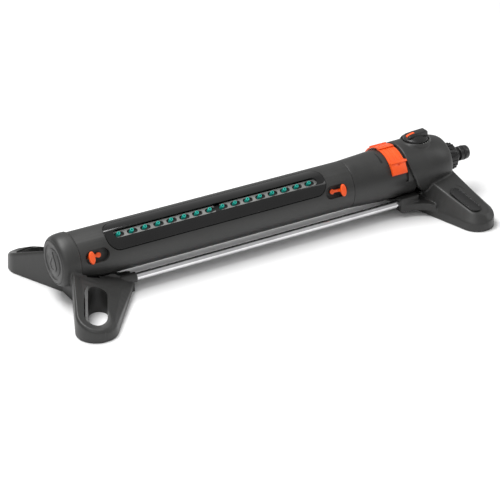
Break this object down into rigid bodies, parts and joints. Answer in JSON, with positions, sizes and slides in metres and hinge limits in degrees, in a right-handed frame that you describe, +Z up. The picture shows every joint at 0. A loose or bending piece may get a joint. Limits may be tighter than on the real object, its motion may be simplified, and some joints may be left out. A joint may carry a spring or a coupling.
{
  "type": "oscillating garden sprinkler",
  "caption": "Low sprinkler whose long spray tube rocks between two splayed feet, driven by a water turbine beside a hose inlet, with range sliders, width levers and a flow knob.",
  "frame": {"origin": "on the ground plane, below the middle of the overall bounding box", "axes": "+X along the spray tube from the capped left foot to the hose inlet, +Y to the rear, +Z up; the nozzles lean to the front (-Y) at rest"},
  "size_m": [0.5708, 0.22, 0.0919],
  "materials": {
    "charcoal": "fine-grained moulded plastic",
    "black": "moulded plastic",
    "gloss_black": "polished",
    "orange": "satin moulded plastic",
    "teal": "soft moulded rubber",
    "grey": "moulded plastic",
    "natural": "uncoloured moulded plastic",
    "seal": "black seal rubber",
    "bright_tube": "polished tube",
    "steel": "bright screw steel"
  },
  "bodies": {
    "base": {"left_foot": "charcoal", "left_end_cap": "charcoal", "left_bush": "natural", "support_rod_front": "bright_tube", "support_rod_rear": "bright_tube", "rod_screw_left_front": "steel", "rod_screw_left_rear": "steel", "rod_screw_right_front": "steel", "rod_screw_right_rear": "steel", "right_foot": "charcoal", "badge_front": "black", "badge_rear": "black", "gearbox_shell": "charcoal", "gearbox_screw_1": "steel", "gearbox_screw_2": "steel", "gearbox_screw_3": "steel", "gear_plate_front": "natural", "gear_plate_rear": "natural", "gear_pin_1": "steel", "gear_pin_2": "steel", "jet_plate": "grey", "reversing_pin": "steel", "shaft_seal": "seal", "spindle_seal": "seal", "inlet_manifold": "black", "inlet_stem": "black", "stem_seal": "seal", "inlet_washer": "seal", "inlet_filter": "grey"},
    "spray_assembly": {"spray_tube": "charcoal", "trim_panel": "gloss_black", "nozzle_strip": "teal", "water_channel": "black", "tube_end_plug": "charcoal", "tube_drive_hub": "charcoal", "drive_gear": "natural"},
    "comb_left": {"comb_left": "grey"},
    "comb_right": {"comb_right": "grey"},
    "width_lever_left": {"width_lever_left": "orange"},
    "width_lever_right": {"width_lever_right": "orange"},
    "range_slider_front": {"range_slider_front": "orange"},
    "range_slider_rear": {"range_slider_rear": "orange"},
    "flow_valve": {"flow_knob": "black", "flow_knob_stripe": "orange", "valve_spindle": "natural"},
    "reduction_gear_1": {"reduction_gear_1": "natural"},
    "reduction_gear_2": {"reduction_gear_2": "natural"},
    "turbine_wheel": {"turbine_wheel": "natural"},
    "reversing_lever": {"reversing_lever": "natural"},
    "inlet_nut": {"inlet_nut": "black"}
  },
  "joints": [
    {"name": "tube_swing", "type": "hinge", "parent": "base", "child": "spray_assembly", "pos_m": [-0.0724, 0, 0.0475], "axis": [1, 0, 0], "range_deg": [-78.5, 11.5]},
    {"name": "width_lever_left_turn", "type": "hinge", "parent": "spray_assembly", "child": "width_lever_left", "pos_m": [-0.2259, 0, 0.0475], "axis": [0, -0.9483, 0.3173], "range_deg": [-16, 16]},
    {"name": "width_lever_right_turn", "type": "hinge", "parent": "spray_assembly", "child": "width_lever_right", "pos_m": [0.0766, 0, 0.0475], "axis": [0, -0.9483, 0.3173], "range_deg": [-16, 16]},
    {"name": "comb_left_slide", "type": "slide", "parent": "spray_assembly", "child": "comb_left", "axis": [1, 0, 0], "range_m": [-0.0028, 0.0028]},
    {"name": "comb_right_slide", "type": "slide", "parent": "spray_assembly", "child": "comb_right", "axis": [1, 0, 0], "range_m": [-0.0028, 0.0028]},
    {"name": "range_slider_front_turn", "type": "hinge", "parent": "base", "child": "range_slider_front", "pos_m": [0.1666, 0, 0.0475], "axis": [1, 0, 0], "range_deg": [-24, 18]},
    {"name": "range_slider_rear_turn", "type": "hinge", "parent": "base", "child": "range_slider_rear", "pos_m": [0.1666, 0, 0.0475], "axis": [1, 0, 0], "range_deg": [-30, 12]},
    {"name": "flow_valve_turn", "type": "hinge", "parent": "base", "child": "flow_valve", "pos_m": [0.20745, 0, 0.0815], "axis": [0, 0, 1], "range_deg": [0, 90]},
    {"name": "reduction_gear_1_spin", "type": "hinge", "parent": "base", "child": "reduction_gear_1", "pos_m": [0.1166, -0.00234, 0.03273], "axis": [1, 0, 0], "range_deg": [-35, 215]},
    {"name": "reduction_gear_2_spin", "type": "hinge", "parent": "base", "child": "reduction_gear_2", "pos_m": [0.1226, 0.01023, 0.0366], "axis": [1, 0, 0], "range_deg": [-470, 75]},
    {"name": "turbine_spin", "type": "hinge", "parent": "base", "child": "turbine_wheel", "pos_m": [0.1346, 0.01489, 0.0489], "axis": [1, 0, 0], "range_deg": [-155, 1040]},
    {"name": "reversing_lever_swing", "type": "hinge", "parent": "base", "child": "reversing_lever", "pos_m": [0.1546, 0, 0.0475], "axis": [1, 0, 0], "range_deg": [-8, 8]},
    {"name": "inlet_nut_spin", "type": "hinge", "parent": "base", "child": "inlet_nut", "pos_m": [0.25715, 0, 0.0475], "axis": [1, 0, 0], "continuous": true}
  ],
  "couplings": [
    {"joint": "comb_left_slide", "follows": "width_lever_left_turn", "m_per_rad": -0.01},
    {"joint": "comb_right_slide", "follows": "width_lever_right_turn", "m_per_rad": -0.01},
    {"joint": "reduction_gear_1_spin", "follows": "tube_swing", "ratio": -2.6667},
    {"joint": "reduction_gear_2_spin", "follows": "tube_swing", "ratio": 5.9259},
    {"joint": "turbine_spin", "follows": "tube_swing", "ratio": -13.169}
  ]
}
